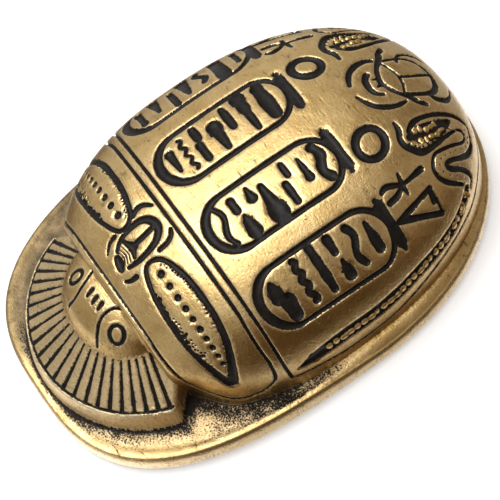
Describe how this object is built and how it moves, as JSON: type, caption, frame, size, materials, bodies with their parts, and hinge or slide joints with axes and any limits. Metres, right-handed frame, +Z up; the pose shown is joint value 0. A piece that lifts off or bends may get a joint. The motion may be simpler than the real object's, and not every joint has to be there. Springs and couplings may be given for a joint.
{
  "type": "scarab figurine",
  "caption": "Antiqued cast-brass scarab beetle on an oval plinth, with a ribbed fan before its head and sunk carving on its back; rests on its flat underside.",
  "frame": {"origin": "centre of the flat underside, at the middle of the plinth's length and width", "axes": "+Y from head to tail along the length, +Z up from the underside, +X to the scarab's left when it is seen from above with its head towards -Y"},
  "size_m": [0.0532, 0.076, 0.0239],
  "materials": {
    "antiqued_brass": "antiqued: worn satin brass on the high places, near-black patina in the carving"
  },
  "bodies": {
    "root": {"scarab": "antiqued_brass"}
  },
  "joints": []
}
